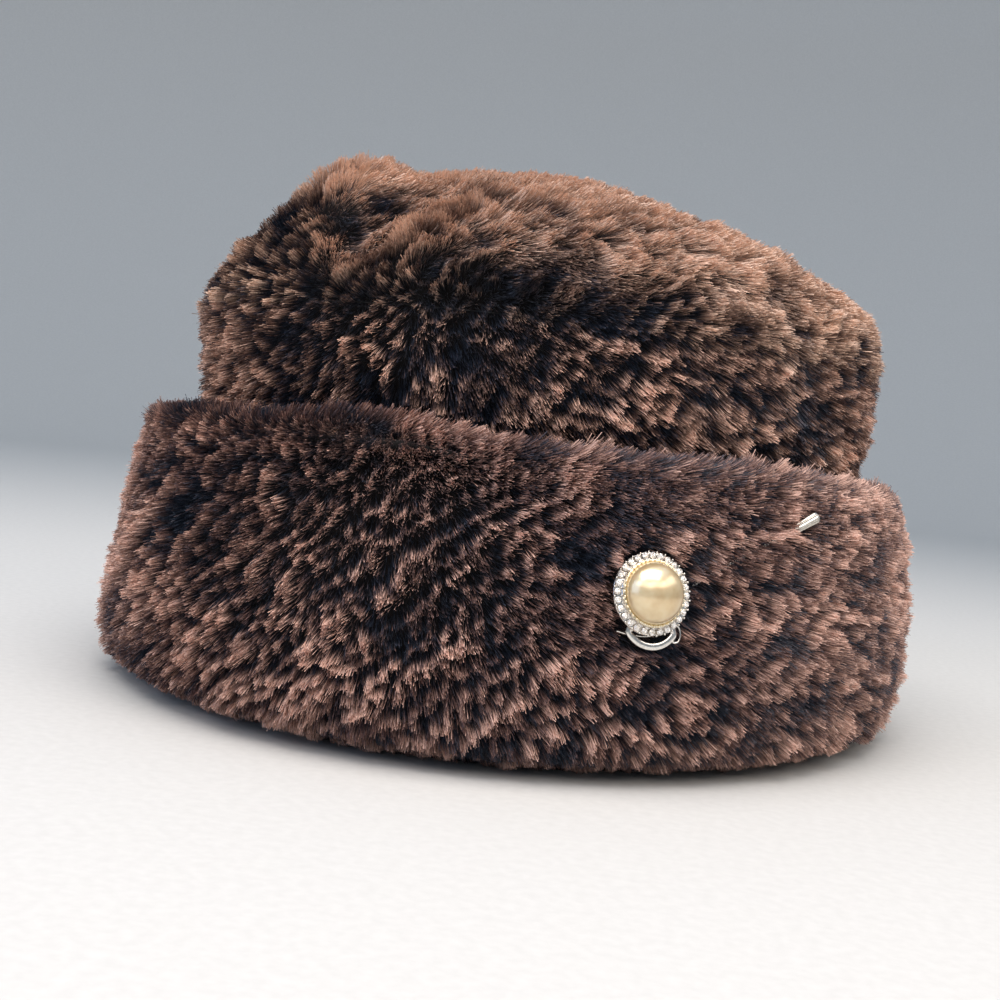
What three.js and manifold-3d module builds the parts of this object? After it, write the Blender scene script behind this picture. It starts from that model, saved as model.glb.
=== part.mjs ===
// A fur hat with a domed crown and a deep turned-up cuff, and a pearl stick pin worn in the cuff.
// Millimetres, +Z up. The hat rests on its lower fold at z = 0.
// Its front faces -Y, and +X is the right of someone who looks at its front.
import * as THREE from 'three';
import { mergeVertices } from 'three/addons/utils/BufferGeometryUtils.js';
import Module from 'manifold-3d';

const wasm = await Module();
wasm.setup();
const { degToRad, radToDeg, lerp, smoothstep, clamp } = THREE.MathUtils;

// Driving sizes of the hat
const HEAD = { halfWidth: 81, halfLength: 102 }; // inside of a size 57 hat
const EGG = 0.03; // how much narrower the plan is towards the front
const GAP = 0.3; // between pieces that touch
const BODY_THICK = 13; // hide and pile of the crown
const LIP_HEIGHT = 8; // the cuff's fold under the crown band
const LIP_ROUND = 2.7; // how high the fold's inner corner is rounded
const REST_INSET = 5; // from the head opening out to the flat ring that the hat rests on
const HIDDEN_TOP = 70; // the cuff hides the crown band below this
const TURNED_EDGE = 6; // how deep the cuff's edge turns in behind itself
const SEAM_HEIGHT = 101; // where the band ends and the tip begins
const DOME_RISE = 42.5; // of the tip over its seam

// The pile: locks that stand out of the mean surface and lean down it and round it, with hollows between
const LOCK = { out: 2.1, hollow: 1.3, lean: 2.6, sidelong: 1.8, unevenness: 0.45 };
const COLUMNS = 96; // of locks and hollows round the cuff and the band
const TIP_COLUMNS = 72;

// Section of the cuff's outside, from where it rests, up and over its edge. pile is how strong its locks are.
const CUFF_ROWS = [
  { name: 'rest', halfWidth: 101, halfLength: 116, height: 0, pile: 0 },
  { name: 'fold', halfWidth: 109.5, halfLength: 125, height: 6.5, pile: 0.6 },
  { name: 'widest', halfWidth: 113, halfLength: 131, height: 23, pile: 1 },
  { name: 'side', halfWidth: 111.5, halfLength: 131, height: 45, pile: 1 },
  { name: 'upper', halfWidth: 109, halfLength: 129, height: 62, pile: 1 },
  { name: 'edge', halfWidth: 105, halfLength: 125.5, height: 71, pile: 0.6 },
  { name: 'inner_edge', halfWidth: 100, halfLength: 121, height: 71, pile: 0 },
];
const CUFF_STEPS = 14;

// How far the cuff's upper edge stands above or below its mean, by the angle from the front towards +X
const CUFF_EDGE = [
  { angle: -180, lift: 0 },
  { angle: -120, lift: -1 },
  { angle: -60, lift: 0.5 },
  { angle: -32, lift: 1.5 },
  { angle: -8, lift: 5 },
  { angle: 20, lift: 1.5 },
  { angle: 50, lift: 1 },
  { angle: 80, lift: -2.5 },
  { angle: 130, lift: -1 },
  { angle: 180, lift: 0 },
];

// Outside of the crown band, which leans a little towards +X above the cuff
const BAND_ROWS = [
  { name: 'foot', halfWidth: 94, halfLength: 115, height: LIP_HEIGHT + GAP, aside: 0, pile: 0 },
  { name: 'cuff_edge', halfWidth: 94, halfLength: 115, height: HIDDEN_TOP, aside: 0, pile: 0 },
  { name: 'above_cuff', halfWidth: 94, halfLength: 116, height: 78, aside: 1.5, pile: 0.3 },
  { name: 'bulge', halfWidth: 95.5, halfLength: 117.5, height: 85, aside: 1.5, pile: 1 },
  { name: 'upper', halfWidth: 96, halfLength: 118, height: 92, aside: 1.5, pile: 1 },
  { name: 'seam', halfWidth: 96, halfLength: 118, height: SEAM_HEIGHT - GAP, aside: 1.5, pile: 0 },
];

// The tip's rows from its seam up, outside and inside. The inside shows only a share of each fold.
const TIP_OUTSIDE = { steps: 13, crown: 0.6, fade: 4 };
const TIP_INSIDE = { steps: 4, inset: BODY_THICK, follow: 0.5 };

// Folds and hollows of the soft tip: a push along the surface round a line drawn in plan
const TIP_FOLDS = [
  { name: 'pinched_ridge', fromX: -48, fromY: -38, toX: -42, toY: -80, width: 14, push: 8 },
  { name: 'groove_beside_ridge', fromX: -78, fromY: -22, toX: -66, toY: -60, width: 9, push: -4 },
  { name: 'left_slope', fromX: -82, fromY: 15, toX: -76, toY: -48, width: 20, push: -6 },
  { name: 'hollow_before_ridge', fromX: -20, fromY: -88, toX: -26, toY: -103, width: 10, push: -6 },
  { name: 'left_fullness', fromX: -30, fromY: 10, toX: 0, toY: 10, width: 38, push: 6 },
  { name: 'right_corner', fromX: 94, fromY: -8, toX: 94, toY: -30, width: 9, push: 2.5 },
  { name: 'right_slackness', fromX: 52, fromY: -20, toX: 60, toY: 30, width: 32, push: -3 },
];

// Driving sizes of the pin's head in its own frame: +Z out of its face, +Y up it
const HEAD_PLACE = { angle: 27.6, height: 42.5, tip: 13, stand: 0.8 };
const SETTING = { radius: 9.3, thick: 0.75, edge: 0.4, bezel: 2.0, floor: 1.2 };
const PEARL = { radius: 6.6, rise: 5.2, wall: 0.3, rows: 7, sides: 24 };
const STONES = { count: 28, ring: 8.2, radius: 0.76, depth: 0.3, crown: 0.32, table: 0.6, sides: 8 };
const PRONG = { radius: 0.24, ring: 9.0, rise: 0.6 };
const BRIDGE = {
  ...{ radius: 6.5, x: 1, y: -4.7, z: -1.2, halfAngle: 58, places: 9 },
  ...{ wide: 1.6, thick: 0.4, slant: 38, room: 3.2, steps: 14 },
};
const BRIDGE_TUCK = { x: 0.75, y: 0.7, rise: 0.6 }; // how its ends turn in behind the dish
const FOOT = { x: 0, y: -4.6, radius: 1.1, drop: 4.6, sink: 0.4 };

// The wire behind the bridge: a tail at the left, a run along the foot and an open eye at the right
const WIRE = { radius: 0.25, z: -1.9, room: 3, steps: 30 };
const WIRE_EYE = {
  ...{ x: 7.3, y: -8.1, halfWidth: 1.2, halfHeight: 1.9 },
  ...{ from: 150, turn: -288, points: 9, shift: -0.5 },
};
const WIRE_RUN = [
  { name: 'tail', x: -7, y: -8.1 },
  { name: 'bridge_end', x: -4.6, y: -8.6 },
  { name: 'foot', x: 0.5, y: -8.9 },
  { name: 'before_eye', x: 4.6, y: -7.6 },
];

// Its straight stem, and the fluted clutch on the stem's point
const STEM = { radius: 0.5, channel: 0.85 };
const CLUTCH_PLACE = { angle: 49.8, height: 60.1, stand: -0.3 };
const CLUTCH = { radius: 1.45, neck: 1.1, length: 8.5, rounding: 1, nose: 1, bore: 0.8, boreDepth: 6 };
const FLUTES = { count: 12, depth: 0.14 };

// A repeatable number from -1 to 1 for a place on a grid
function scatter(column, row) {
  const wave = Math.sin(column * 127.1 + row * 311.7) * 43758.5453;
  return 2 * (wave - Math.floor(wave)) - 1;
}

// A point of the oval plan: turn is measured from the front towards +X
function planPoint(turn, { halfWidth, halfLength, height, aside = 0 }) {
  const across = halfWidth * (1 - EGG * Math.cos(turn)) * Math.sin(turn);
  return new THREE.Vector3(aside + across, -halfLength * Math.cos(turn), height);
}

// The section row at a share of the way along a table of rows, rounded through them
function rowAt(rows, share) {
  const places = rows.map((row) => new THREE.Vector3(row.halfWidth, row.halfLength, row.height));
  const curve = new THREE.CatmullRomCurve3(places, false, 'centripetal');
  const step = clamp(share, 0, 1) * (rows.length - 1);
  const below = Math.min(Math.floor(step), rows.length - 2);
  const place = curve.getPoint(share);
  const pile = lerp(rows[below].pile, rows[below + 1].pile, step - below);
  return { halfWidth: place.x, halfLength: place.y, height: place.z, pile };
}

// The rise of the cuff's edge at an angle, eased between the rows of its table
function edgeLift(turn) {
  const angle = radToDeg(Math.atan2(Math.sin(turn), Math.cos(turn)));
  const next = Math.max(1, CUFF_EDGE.findIndex((row) => row.angle >= angle));
  const [before, after] = [CUFF_EDGE[next - 1], CUFF_EDGE[next]];
  return lerp(before.lift, after.lift, smoothstep(angle, before.angle, after.angle));
}

// A point of the cuff's mean surface
function cuffPoint(turn, row) {
  const top = CUFF_ROWS.at(-1).height;
  const lift = edgeLift(turn) * smoothstep(row.height, top * 0.3, top);
  return planPoint(turn, { ...row, height: row.height + lift });
}

// A grid of points with a row for each section, where place(turn, section) gives a point
function gridOf(sections, columns, place) {
  return sections.map((section) =>
    Array.from({ length: columns }, (_, column) => place((2 * Math.PI * column) / columns, section)),
  );
}

// The grid with its pile raised: every other point stands out and leans over, the ones between sink in
function withLocks(grid, sections) {
  const columns = grid[0].length;
  const at = (row, column) => grid[clamp(row, 0, grid.length - 1)][(column + columns) % columns];
  return grid.map((points, row) =>
    points.map((point, column) => {
      const strength = (sections[row].pile ?? 0) * (1 + LOCK.unevenness * scatter(column, row));
      const across = at(row, column + 1).clone().sub(at(row, column - 1)).normalize();
      const along = at(row + 1, column).clone().sub(at(row - 1, column)).normalize();
      const out = across.clone().cross(along).normalize();
      if ((row + column) % 2) return point.clone().addScaledVector(out, -LOCK.hollow * strength);
      return point
        .clone()
        .addScaledVector(out, LOCK.out * strength)
        .addScaledVector(along, -LOCK.lean * strength)
        .addScaledVector(across, LOCK.sidelong * strength);
    }),
  );
}

// A closed skin over a grid of rings, whose outside rows climb. With no ends the last ring joins the first;
// with two, the first and last rings close on those points.
function skinOf(grid, ends = []) {
  const columns = grid[0].length;
  const faces = [];
  const ring = (row, column) => (row % grid.length) * columns + (column % columns);
  const rows = ends.length ? grid.length - 1 : grid.length;
  for (let row = 0; row < rows; row++) {
    for (let column = 0; column < columns; column++) {
      const [a, b] = [ring(row, column), ring(row, column + 1)];
      const [c, d] = [ring(row + 1, column + 1), ring(row + 1, column)];
      if ((row + column) % 2) faces.push(a, b, c, a, c, d);
      else faces.push(a, b, d, b, c, d);
    }
  }
  const [first, last] = [grid.length * columns, grid.length * columns + 1];
  for (let column = 0; ends.length && column < columns; column++) {
    faces.push(first, ring(0, column + 1), ring(0, column));
    faces.push(last, ring(grid.length - 1, column), ring(grid.length - 1, column + 1));
  }
  const points = [...grid.flat(), ...ends].flatMap((point) => point.toArray());
  const geometry = new THREE.BufferGeometry();
  geometry.setAttribute('position', new THREE.Float32BufferAttribute(points, 3));
  geometry.setIndex(faces);
  return geometry;
}

// A closed geometry as a solid that can be joined and cut
function solid(geometry, matrix = new THREE.Matrix4()) {
  const bare = geometry.clone().applyMatrix4(matrix);
  bare.deleteAttribute('normal');
  bare.deleteAttribute('uv');
  const merged = mergeVertices(bare, 1e-4);
  const vertProperties = merged.attributes.position.array;
  const triVerts = new Uint32Array(merged.index.array);
  return new wasm.Manifold(new wasm.Mesh({ numProp: 3, vertProperties, triVerts }));
}

// And the geometry of a finished solid
function geometryOf(made) {
  const { vertProperties, triVerts } = made.getMesh();
  const geometry = new THREE.BufferGeometry();
  geometry.setAttribute('position', new THREE.BufferAttribute(new Float32Array(vertProperties), 3));
  geometry.setIndex(new THREE.BufferAttribute(new Uint32Array(triVerts), 1));
  return geometry;
}

// A rod of round or other section along a curve
function rodAlong(curve, section, steps) {
  return new THREE.ExtrudeGeometry(section, { extrudePath: curve, steps, curveSegments: 3 });
}

function disc(radius) {
  return new THREE.Shape().absarc(0, 0, radius, 0, 2 * Math.PI, false);
}

// Turns a lathed shape's axis from +Y to +Z
const UPRIGHT = new THREE.Matrix4().makeRotationX(Math.PI / 2);

function lathed(outline, sides) {
  const points = outline.map(([x, y]) => new THREE.Vector2(x, y));
  return new THREE.LatheGeometry(points, sides).applyMatrix4(UPRIGHT);
}

// A round post along +Z between two heights, which may taper
function post({ x, y, from, to, radius, topRadius = radius, sides = 12 }) {
  return new THREE.CylinderGeometry(topRadius, radius, to - from, sides)
    .applyMatrix4(UPRIGHT)
    .translate(x, y, (from + to) / 2);
}

// The frame of a piece that lies on the cuff's outside: +Z out of the pile, +Y up, tipped to face upwards
function frameOnCuff({ angle, height, tip = 0, stand = 0 }) {
  const shares = Array.from({ length: 201 }, (_, n) => n / 200);
  const share = shares.find((s) => rowAt(CUFF_ROWS, s).height >= height);
  const [turn, nudge] = [degToRad(angle), 0.01];
  const at = (t, s) => cuffPoint(t, rowAt(CUFF_ROWS, s));
  const across = at(turn + nudge, share).sub(at(turn - nudge, share)).normalize();
  const out = new THREE.Vector3(across.y, -across.x, 0).normalize();
  const face = out.clone().multiplyScalar(Math.cos(degToRad(tip)));
  face.z = Math.sin(degToRad(tip));
  const upward = face.clone().cross(across).normalize();
  return new THREE.Matrix4()
    .makeBasis(across, upward, face)
    .setPosition(at(turn, share).addScaledVector(out, stand));
}

const headFrame = frameOnCuff(HEAD_PLACE);
const clutchCentre = new THREE.Vector3().applyMatrix4(frameOnCuff(CLUTCH_PLACE));
const stemStart = new THREE.Vector3(FOOT.x, FOOT.y, -FOOT.drop + STEM.radius).applyMatrix4(headFrame);
const stemWay = clutchCentre.clone().sub(stemStart).normalize();
const clutchStart = clutchCentre.clone().addScaledVector(stemWay, -CLUTCH.length / 2);
const stemEnd = clutchStart.clone().addScaledVector(stemWay, CLUTCH.boreDepth - GAP);

// A straight round bar between two places
function bar(from, to, radius) {
  return solid(rodAlong(new THREE.LineCurve3(from, to), disc(radius), 1));
}

// The cuff: a thick roll of fur folded up from under the band, flat where it rests. The head of the pin
// presses the pile down, and the stem and its clutch lie in a channel through it.
function cuffGeometry() {
  const outside = Array.from({ length: CUFF_STEPS + 1 }, (_, step) => rowAt(CUFF_ROWS, step / CUFF_STEPS));
  const wall = BODY_THICK + 2 * GAP;
  const insideBand = { halfWidth: HEAD.halfWidth + wall, halfLength: HEAD.halfLength + wall };
  const sections = [
    ...outside,
    { ...insideBand, height: HIDDEN_TOP - TURNED_EDGE },
    { ...insideBand, height: LIP_HEIGHT },
    { ...HEAD, height: LIP_HEIGHT },
    { ...HEAD, height: LIP_ROUND },
    { halfWidth: HEAD.halfWidth + REST_INSET, halfLength: HEAD.halfLength + REST_INSET, height: 0 },
  ];
  const place = (turn, row) => (row.pile === undefined ? planPoint(turn, row) : cuffPoint(turn, row));
  const roll = solid(skinOf(withLocks(gridOf(sections, COLUMNS, place), sections)));
  const outwards = { to: 2 * SETTING.radius };
  const pressed = post({ ...outwards, x: 0, y: 0, from: -GAP, radius: SETTING.radius + GAP, sides: 24 });
  const roomRadius = BRIDGE.radius + BRIDGE.room;
  const bridgeRoom = post({ ...BRIDGE, ...outwards, from: -WIRE.room, radius: roomRadius, sides: 20 });
  const footRoom = post({ ...FOOT, ...outwards, from: -FOOT.drop - GAP, radius: FOOT.radius + GAP });
  const wayOut = clutchStart.clone().addScaledVector(stemWay, 3 * CLUTCH.length);
  return geometryOf(
    roll
      .subtract(solid(pressed, headFrame))
      .subtract(solid(bridgeRoom, headFrame))
      .subtract(solid(footRoom, headFrame))
      .subtract(bar(stemStart, clutchCentre, STEM.channel))
      .subtract(bar(clutchStart, wayOut, CLUTCH.radius + GAP)),
  );
}

// The crown band: an oval wall of fur, smooth where the cuff covers it
function bandGeometry() {
  const crest = SEAM_HEIGHT - GAP;
  const foot = LIP_HEIGHT + GAP;
  const { aside } = BAND_ROWS.at(-1);
  const sections = [
    ...BAND_ROWS,
    { halfWidth: HEAD.halfWidth + 3, halfLength: HEAD.halfLength + 3, height: crest, aside },
    { halfWidth: HEAD.halfWidth + 1, halfLength: HEAD.halfLength + 1, height: (foot + crest) / 2 },
    { ...HEAD, height: foot },
  ];
  return skinOf(withLocks(gridOf(sections, COLUMNS, planPoint), sections));
}

// How far the folds push the tip's surface at a place in plan
function foldPush(x, y) {
  return TIP_FOLDS.reduce((sum, fold) => {
    const [dx, dy] = [fold.toX - fold.fromX, fold.toY - fold.fromY];
    const share = clamp(((x - fold.fromX) * dx + (y - fold.fromY) * dy) / (dx * dx + dy * dy), 0, 1);
    const away = Math.hypot(x - fold.fromX - share * dx, y - fold.fromY - share * dy);
    return sum + fold.push * Math.exp(-((away / fold.width) ** 2));
  }, 0);
}

// A point of the domed tip: climb goes from 0 at the seam to 1 at the top, inset is the depth into it, and
// follow is the share of each fold that shows there
function domePoint(turn, { climb, inset = 0, follow = 1 }) {
  const level = (climb * Math.PI) / 2;
  const seam = BAND_ROWS.at(-1);
  const row = { halfWidth: seam.halfWidth - inset, halfLength: seam.halfLength - inset, height: 0 };
  const rise = DOME_RISE - inset;
  const point = planPoint(turn, row).multiplyScalar(Math.cos(level));
  const [leanX, leanY] = [point.x / row.halfWidth ** 2, point.y / row.halfLength ** 2];
  const out = new THREE.Vector3(leanX, leanY, Math.sin(level) / rise).normalize();
  const push = follow * foldPush(point.x, point.y) * Math.sqrt(Math.sin(level));
  point.x += seam.aside;
  point.z = SEAM_HEIGHT + rise * Math.sin(level);
  return point.addScaledVector(out, push);
}

// The tip: a domed oval shell sewn to the top of the band
function tipGeometry() {
  const inside = Array.from({ length: TIP_INSIDE.steps }, (_, step) => ({
    ...TIP_INSIDE,
    climb: 1 - (step + 1) / TIP_INSIDE.steps,
  }));
  const outside = Array.from({ length: TIP_OUTSIDE.steps }, (_, step) => ({
    climb: step / (TIP_OUTSIDE.steps - 1 + TIP_OUTSIDE.crown),
    pile: step === 0 ? 0 : Math.min(1, (TIP_OUTSIDE.steps - step) / TIP_OUTSIDE.fade),
  }));
  const sections = [...inside, ...outside];
  const ends = [domePoint(0, { ...TIP_INSIDE, climb: 1 }), domePoint(0, { climb: 1 })];
  return skinOf(withLocks(gridOf(sections, TIP_COLUMNS, domePoint), sections), ends);
}

// The setting: a round dish with a bezel for the pearl and a ledge for the stones, held by shared prongs
function dishSolid() {
  const bezel = PEARL.radius + GAP;
  const ledge = STONES.ring - STONES.radius - GAP / 2;
  const dish = lathed([
    [0, 0],
    [SETTING.radius - SETTING.edge, 0],
    [SETTING.radius, SETTING.edge],
    [SETTING.radius, SETTING.thick],
    [ledge, SETTING.thick],
    [ledge, SETTING.bezel],
    [bezel, SETTING.bezel],
    [bezel, SETTING.floor],
    [0, SETTING.floor],
  ], STONES.count);
  let made = solid(dish);
  for (let n = 0; n < STONES.count; n++) {
    const turn = ((n + 0.5) * 2 * Math.PI) / STONES.count;
    const [x, y] = [PRONG.ring * Math.cos(turn), PRONG.ring * Math.sin(turn)];
    const heights = { from: SETTING.edge / 2, to: SETTING.thick + PRONG.rise };
    made = made.add(solid(post({ x, y, ...heights, ...PRONG, topRadius: PRONG.radius / 2, sides: 4 })));
  }
  return made;
}

// The bright strip bent round under the dish's lower edge, whose ends turn in behind it
function bridgeSolid() {
  const places = Array.from({ length: BRIDGE.places }, (_, n) => {
    const share = n / (BRIDGE.places - 1);
    const turn = degToRad(-90 + lerp(-BRIDGE.halfAngle, BRIDGE.halfAngle, share));
    const [x, y] = [BRIDGE.x + BRIDGE.radius * Math.cos(turn), BRIDGE.y + BRIDGE.radius * Math.sin(turn)];
    return new THREE.Vector3(x, y, BRIDGE.z);
  });
  const tuck = (place) =>
    new THREE.Vector3(place.x * BRIDGE_TUCK.x, place.y * BRIDGE_TUCK.y, BRIDGE.z + BRIDGE_TUCK.rise);
  const route = [tuck(places[0]), ...places, tuck(places.at(-1))];
  const curve = new THREE.CatmullRomCurve3(route, false, 'centripetal');
  const [half, thin] = [BRIDGE.wide / 2, BRIDGE.thick / 2];
  const corners = [[-thin, -half], [thin, -half], [thin, half], [-thin, half]];
  const turned = corners.map(([x, y]) =>
    new THREE.Vector2(x, y).rotateAround(new THREE.Vector2(), degToRad(BRIDGE.slant)),
  );
  return solid(rodAlong(curve, new THREE.Shape(turned), BRIDGE.steps));
}

// The thin wire behind the bridge
function wireSolid() {
  const run = WIRE_RUN.map((place) => new THREE.Vector3(place.x, place.y, WIRE.z));
  const eye = Array.from({ length: WIRE_EYE.points }, (_, n) => {
    const share = n / (WIRE_EYE.points - 1);
    const turn = degToRad(WIRE_EYE.from + WIRE_EYE.turn * share);
    return new THREE.Vector3(
      WIRE_EYE.x + WIRE_EYE.halfWidth * Math.cos(turn),
      WIRE_EYE.y + WIRE_EYE.halfHeight * Math.sin(turn),
      WIRE.z + WIRE_EYE.shift * share,
    );
  });
  const curve = new THREE.CatmullRomCurve3([...run, ...eye], false, 'centripetal');
  return solid(rodAlong(curve, disc(WIRE.radius), WIRE.steps));
}

// The soldered metal of the pin: dish, bridge, wire, and the foot that carries the stem
function settingGeometry() {
  const foot = solid(post({ ...FOOT, from: -FOOT.drop, to: FOOT.sink }));
  const head = dishSolid().add(bridgeSolid()).add(wireSolid()).add(foot);
  return geometryOf(head.transform(headFrame.toArray()).add(bar(stemStart, stemEnd, STEM.radius)));
}

// The domed pearl, flat behind
function pearlGeometry() {
  const dome = Array.from({ length: PEARL.rows }, (_, row) => {
    const level = (row / PEARL.rows) * (Math.PI / 2);
    return [PEARL.radius * Math.cos(level), PEARL.wall + PEARL.rise * Math.sin(level)];
  });
  const outline = [[0, 0], [PEARL.radius - PEARL.wall, 0], ...dome, [0, PEARL.wall + PEARL.rise]];
  return lathed(outline, PEARL.sides).translate(0, 0, SETTING.floor + GAP);
}

// A cut stone: a table, eight crown facets and eight below
function stoneGeometry() {
  const top = STONES.depth + STONES.crown;
  return lathed([
    [0, 0],
    [STONES.radius, STONES.depth],
    [STONES.radius * STONES.table, top],
    [0, top],
  ], STONES.sides);
}

// The clutch: a fluted barrel, wider at its outer end, bored for the stem's point
function clutchGeometry() {
  const barrel = lathed([
    [CLUTCH.bore, 0],
    [CLUTCH.neck, 0],
    [CLUTCH.radius, CLUTCH.length - CLUTCH.rounding],
    [CLUTCH.nose, CLUTCH.length],
    [0, CLUTCH.length],
    [0, CLUTCH.boreDepth],
    [CLUTCH.bore, CLUTCH.boreDepth],
    [CLUTCH.bore, 0],
  ], 2 * FLUTES.count);
  const place = barrel.getAttribute('position');
  for (let n = 0; n < place.count; n++) {
    const [x, y] = [place.getX(n), place.getY(n)];
    const around = Math.hypot(x, y);
    const side = Math.round((Math.atan2(y, x) / Math.PI) * FLUTES.count);
    if (side % 2 === 0 || around < CLUTCH.bore + FLUTES.depth) continue;
    const share = 1 - FLUTES.depth / around;
    place.setXY(n, x * share, y * share);
  }
  return barrel;
}

function paint(color, roughness, metalness) {
  return new THREE.MeshStandardMaterial({ color, roughness, metalness });
}

const silver = paint(0xd5d2cc, 0.18, 1);

function named(name, geometry, material) {
  const mesh = new THREE.Mesh(geometry, material);
  mesh.name = name;
  return mesh;
}

const group = new THREE.Group();
group.add(named('cuff', cuffGeometry(), paint(0x4a3028, 0.85, 0)));
group.add(named('crown_band', bandGeometry(), paint(0x3d2720, 0.85, 0)));
group.add(named('crown_tip', tipGeometry(), paint(0x6b4736, 0.85, 0)));
group.add(named('pin_setting', settingGeometry(), silver));

const pinHead = new THREE.Group();
pinHead.applyMatrix4(headFrame);
pinHead.add(named('pearl', pearlGeometry(), paint(0xead7ae, 0.15, 0)));
for (let n = 0; n < STONES.count; n++) {
  const turn = (n * 2 * Math.PI) / STONES.count;
  const name = `halo_stone_${String(n + 1).padStart(2, '0')}`;
  const stone = named(name, stoneGeometry(), paint(0xf3f0ee, 0.05, 0.3));
  stone.position.set(STONES.ring * Math.cos(turn), STONES.ring * Math.sin(turn), SETTING.thick + GAP / 2);
  pinHead.add(stone);
}
group.add(pinHead);

const clutch = named('pin_clutch', clutchGeometry(), silver);
clutch.position.copy(clutchStart);
clutch.quaternion.setFromUnitVectors(new THREE.Vector3(0, 0, 1), stemWay);
group.add(clutch);

export default group;
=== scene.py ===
import math

import bpy
import numpy as np
from mathutils import Matrix


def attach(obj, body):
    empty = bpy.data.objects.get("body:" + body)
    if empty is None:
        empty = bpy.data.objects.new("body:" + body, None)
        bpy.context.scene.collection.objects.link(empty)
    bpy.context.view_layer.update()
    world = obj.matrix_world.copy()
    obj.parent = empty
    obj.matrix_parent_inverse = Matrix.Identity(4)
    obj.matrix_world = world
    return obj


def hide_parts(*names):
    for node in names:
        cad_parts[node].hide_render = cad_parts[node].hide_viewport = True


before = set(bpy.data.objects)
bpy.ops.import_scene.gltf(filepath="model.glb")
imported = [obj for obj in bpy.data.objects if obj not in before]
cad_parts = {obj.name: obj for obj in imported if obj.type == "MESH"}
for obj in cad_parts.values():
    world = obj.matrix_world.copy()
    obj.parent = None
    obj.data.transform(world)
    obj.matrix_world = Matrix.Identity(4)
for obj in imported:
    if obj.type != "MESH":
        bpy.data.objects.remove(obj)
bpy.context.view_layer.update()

# The cuff's pelt. A deep roll of sheared sheepskin is folded up from under the crown band: a thin leather
# hide, dyed almost black, with a plain woven lining where the head goes. It carries the cuff's pile.
MM = 0.001
ROUND = 192  # columns of every skin that runs round the hat
EGG = 0.03  # how much narrower the plan is towards the front
PILE_DEPTH = 5.5  # mm from the hide to the mean surface of the pile
HEAD_HALF = np.array([81.0, 102.0])

# Half width, half length and height of the cuff's outside, from where it rests, up and over its edge
CUFF_ROWS = np.array([
    [101, 116, 0], [109.5, 125, 6.5], [113, 131, 23], [111.5, 131, 45],
    [109, 129, 62], [105, 125.5, 71], [100, 121, 71],
])
# How far the cuff's edge stands above its mean, by the angle in degrees from the front towards +X
EDGE_ANGLES = np.array([-180, -120, -60, -32, -8, 20, 50, 80, 130, 180])
EDGE_LIFTS = np.array([0, -1, 0.5, 1.5, 5, 1.5, 1, -2.5, -1, 0])
CUFF_TOP = 71
WALL = 13.6  # from the head opening out to the cuff's inner wall


def smooth(x, low, high):
    """Rises from 0 at low to 1 at high as 3t^2 - 2t^3."""
    t = np.clip((x - low) / (high - low), 0, 1)
    return t * t * (3 - 2 * t)


def unit(v):
    """Vectors divided by their lengths."""
    return v / np.maximum(np.linalg.norm(v, axis=-1, keepdims=True), 1e-12)


def rounded_rows(rows, share):
    """Points of the centripetal Catmull-Rom curve through the rows: each span is the cubic with the rows at
    its ends, whose slopes weigh the neighbouring spans by the square root of their lengths."""
    padded = np.vstack([2 * rows[0] - rows[1], rows, 2 * rows[-1] - rows[-2]])
    step = np.clip(share, 0, 1) * (len(rows) - 1)
    span = np.minimum(step.astype(int), len(rows) - 2)
    t = (step - span)[..., None]
    p0, p1, p2, p3 = (padded[span + n] for n in range(4))
    spans = (p0, p1), (p1, p2), (p2, p3)
    d0, d1, d2 = (np.sqrt(np.linalg.norm(b - a, axis=-1, keepdims=True)) for a, b in spans)
    slope1 = d1 * ((p1 - p0) / d0 - (p2 - p0) / (d0 + d1) + (p2 - p1) / d1)
    slope2 = d1 * ((p2 - p1) / d1 - (p3 - p1) / (d1 + d2) + (p3 - p2) / d2)
    square = 3 * (p2 - p1) - 2 * slope1 - slope2
    cube = 2 * (p1 - p2) + slope1 + slope2
    return p1 + slope1 * t + square * t**2 + cube * t**3


def oval(turn, half_width, half_length, height, aside=0.0):
    """A point of the oval plan: x = half width * sine * (1 - EGG * cosine), y = -half length * cosine."""
    x = aside + half_width * (1 - EGG * np.cos(turn)) * np.sin(turn)
    return np.stack(np.broadcast_arrays(x, -half_length * np.cos(turn), height), -1)


def edge_lift(turn):
    """The lift of the cuff's edge, eased between the angles of its table."""
    angle = np.degrees(np.arctan2(np.sin(turn), np.cos(turn)))
    after = np.clip(np.searchsorted(EDGE_ANGLES, angle), 1, len(EDGE_ANGLES) - 1)
    part = smooth(angle, EDGE_ANGLES[after - 1], EDGE_ANGLES[after])
    return EDGE_LIFTS[after - 1] * (1 - part) + EDGE_LIFTS[after] * part


def cuff_surface(turn, share):
    """The cuff's mean surface: the oval of the section's row, with the edge's lift eased in up its height."""
    half_width, half_length, height = np.moveaxis(rounded_rows(CUFF_ROWS, share), -1, 0)
    lift = edge_lift(turn) * smooth(height, 0.3 * CUFF_TOP, CUFF_TOP)
    return oval(turn, half_width, half_length, height + lift)


def directions(surface, turn, share, nudge=0.004):
    """Unit vectors across, up and out of a surface, from the differences of points a nudge to each side."""
    across = unit(surface(turn + nudge, share) - surface(turn - nudge, share))
    up = surface(turn, np.minimum(share + nudge, 1)) - surface(turn, share - nudge)
    out = unit(np.cross(across, up))
    return across, np.cross(out, across), out


def sunk(surface, turn, share, depth):
    """Points at a depth under the surface, along its outward direction."""
    return surface(turn, share) - directions(surface, turn, share)[2] * np.asarray(depth)[..., None]


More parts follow.
